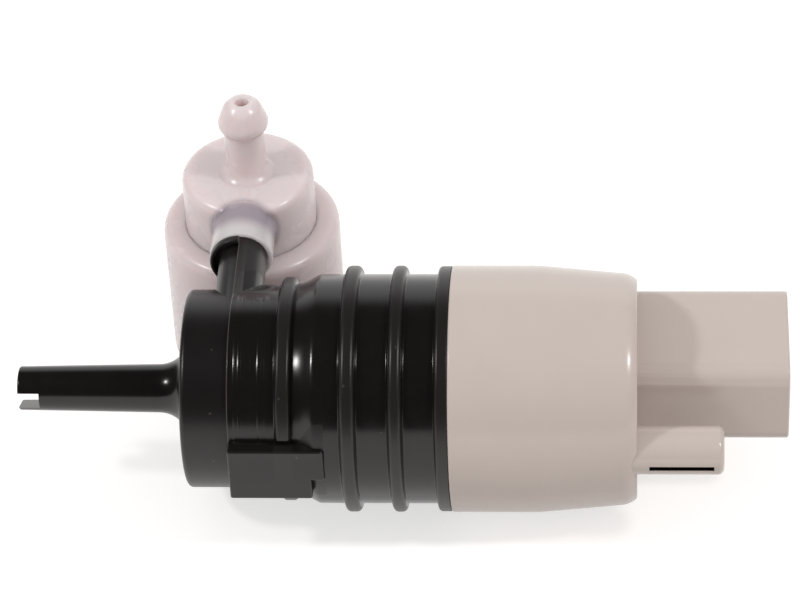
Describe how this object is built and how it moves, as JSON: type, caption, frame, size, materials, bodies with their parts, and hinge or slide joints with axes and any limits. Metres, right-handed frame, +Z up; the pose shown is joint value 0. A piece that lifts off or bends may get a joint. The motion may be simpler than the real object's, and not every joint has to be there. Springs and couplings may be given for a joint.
{
  "type": "windshield washer pump",
  "caption": "Electric washer pump with a ribbed round housing, an axial inlet tube, a plug socket and a two-outlet valve capsule with barbed hose nipples.",
  "frame": {"origin": "on the motor axis, at the joint of the pump housing and the motor cap", "axes": "+X along the motor axis towards the connector, +Y towards the valve capsule, +Z up along the capsule's axis"},
  "size_m": [0.1096, 0.0743, 0.0441],
  "materials": {
    "black_plastic": "moulded, glossy with satin ribs",
    "grey_plastic": "fine satin, warm light grey",
    "natural_nylon": "translucent natural nylon, soft gloss",
    "seal_rubber": "black",
    "bronze": "sintered",
    "can_steel": "zinc plated",
    "ferrite": "sintered, dark grey",
    "bell_plastic": "moulded, ivory",
    "carbon": "pressed carbon",
    "tinned_brass": "tin plated",
    "shaft_steel": "ground",
    "lamination": "stacked sheet",
    "copper": "copper",
    "impeller_plastic": "moulded",
    "washer_plastic": "punched sheet"
  },
  "bodies": {
    "housing": {"inlet_cover": "black_plastic", "pump_body": "black_plastic", "motor_cap": "grey_plastic", "cap_seal": "seal_rubber", "shaft_seal": "seal_rubber", "spigot_seal_upper": "seal_rubber", "spigot_seal_lower": "seal_rubber", "front_bearing": "bronze", "rear_bearing": "bronze", "motor_can": "can_steel", "magnet_upper": "ferrite", "magnet_lower": "ferrite", "magnet_clip_front": "can_steel", "magnet_clip_back": "can_steel", "end_bell": "bell_plastic", "brush_front": "carbon", "brush_back": "carbon", "motor_terminal_front": "tinned_brass", "motor_terminal_back": "tinned_brass", "connector_pin_front": "tinned_brass", "connector_pin_back": "tinned_brass", "valve_cap": "natural_nylon", "valve_body": "natural_nylon", "valve_diaphragm": "seal_rubber"},
    "rotor": {"motor_shaft": "shaft_steel", "armature_core": "lamination", "armature_winding": "copper", "commutator": "copper", "impeller": "impeller_plastic", "front_washer": "washer_plastic", "rear_washer": "washer_plastic"},
    "poppet": {"valve_poppet": "impeller_plastic"}
  },
  "joints": [
    {"name": "rotor_spin", "type": "hinge", "parent": "housing", "child": "rotor", "pos_m": [0, 0, 0], "axis": [1, 0, 0], "continuous": true},
    {"name": "valve_shift", "type": "slide", "parent": "housing", "child": "poppet", "axis": [0, 0, 1], "range_m": [-0.0007, 0.0007], "stiffness_N_per_m": 50, "deforming": ["valve_diaphragm"]}
  ]
}
